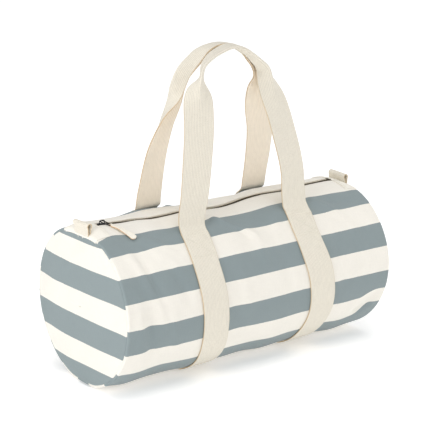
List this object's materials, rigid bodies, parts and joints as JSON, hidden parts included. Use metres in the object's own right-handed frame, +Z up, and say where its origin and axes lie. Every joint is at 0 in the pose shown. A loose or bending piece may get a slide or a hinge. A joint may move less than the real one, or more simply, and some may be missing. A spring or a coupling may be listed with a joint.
{
  "type": "weekender bag",
  "caption": "Soft barrel weekender bag: a striped canvas drum with a zip along its top, webbing straps round its belly that rise into carrying handles, and a webbing loop at each end.",
  "frame": {"origin": "on the surface that the bag stands on, below the middle of its drum", "axes": "+X along the drum towards the open end of the zip, -Y to the front, +Z up"},
  "size_m": [0.49, 0.244, 0.4846],
  "materials": {
    "striped_canvas": "matt woven cotton canvas in broad grey-blue and off-white stripes",
    "natural_canvas": "matt off-white woven cotton canvas",
    "webbing": "natural cotton webbing with fine ribs along its length",
    "binding_tape": "matt cotton twill tape",
    "zip_tape": "close-woven cream zip tape",
    "zip_teeth": "dark antique brass",
    "slider_metal": "polished gunmetal with bright worn edges",
    "puller_tape": "folded cream cotton tape, stitched, tan at its edges",
    "thread": "matt cream sewing thread"
  },
  "bodies": {
    "root": {"body_panel": "striped_canvas", "end_panel_left": "striped_canvas", "end_panel_right": "striped_canvas", "seam_binding_left": "binding_tape", "seam_binding_right": "binding_tape", "zip_tape_front": "zip_tape", "zip_tape_back": "zip_tape", "zip_teeth_front": "zip_teeth", "zip_teeth_back": "zip_teeth", "zip_top_stops": "zip_teeth", "zip_bottom_stop": "zip_teeth", "zip_end_facing_left": "natural_canvas", "zip_end_facing_right": "natural_canvas", "strap_left": "webbing", "strap_right": "webbing"},
    "front_handle": {"front_handle": "webbing"},
    "back_handle": {"back_handle": "webbing"},
    "zip_slider": {"zip_slider": "slider_metal"},
    "pull_link": {"zip_pull_link": "slider_metal"},
    "puller": {"zip_puller": "puller_tape"},
    "end_tab_left": {"end_tab_left": "webbing"},
    "end_tab_right": {"end_tab_right": "webbing"}
  },
  "joints": [
    {"name": "zip_slide", "type": "slide", "parent": "root", "child": "zip_slider", "axis": [1, 0, 0], "range_m": [0, 0.417]},
    {"name": "pull_lift", "type": "hinge", "parent": "zip_slider", "child": "pull_link", "pos_m": [-0.209, 0, 0.2445], "axis": [-1, 0, 0], "range_deg": [0, 130]},
    {"name": "puller_flex", "type": "hinge", "parent": "pull_link", "child": "puller", "pos_m": [-0.20314, -0.01381, 0.2425], "axis": [-0.9205, -0.3907, 0], "range_deg": [0, 80]},
    {"name": "front_handle_fold", "type": "hinge", "parent": "root", "child": "front_handle", "pos_m": [0, -0.0672, 0.2235], "axis": [1, 0, 0], "range_deg": [0, 120]},
    {"name": "back_handle_fold", "type": "hinge", "parent": "root", "child": "back_handle", "pos_m": [0, 0.0672, 0.2235], "axis": [-1, 0, 0], "range_deg": [0, 120]},
    {"name": "end_tab_left_flex", "type": "hinge", "parent": "root", "child": "end_tab_left", "pos_m": [-0.2396, 0, 0.2432], "axis": [0, 1, 0], "range_deg": [-60, 60], "stiffness_Nm_per_rad": 0.02},
    {"name": "end_tab_right_flex", "type": "hinge", "parent": "root", "child": "end_tab_right", "pos_m": [0.2396, 0, 0.2432], "axis": [0, 1, 0], "range_deg": [-60, 60], "stiffness_Nm_per_rad": 0.02}
  ]
}
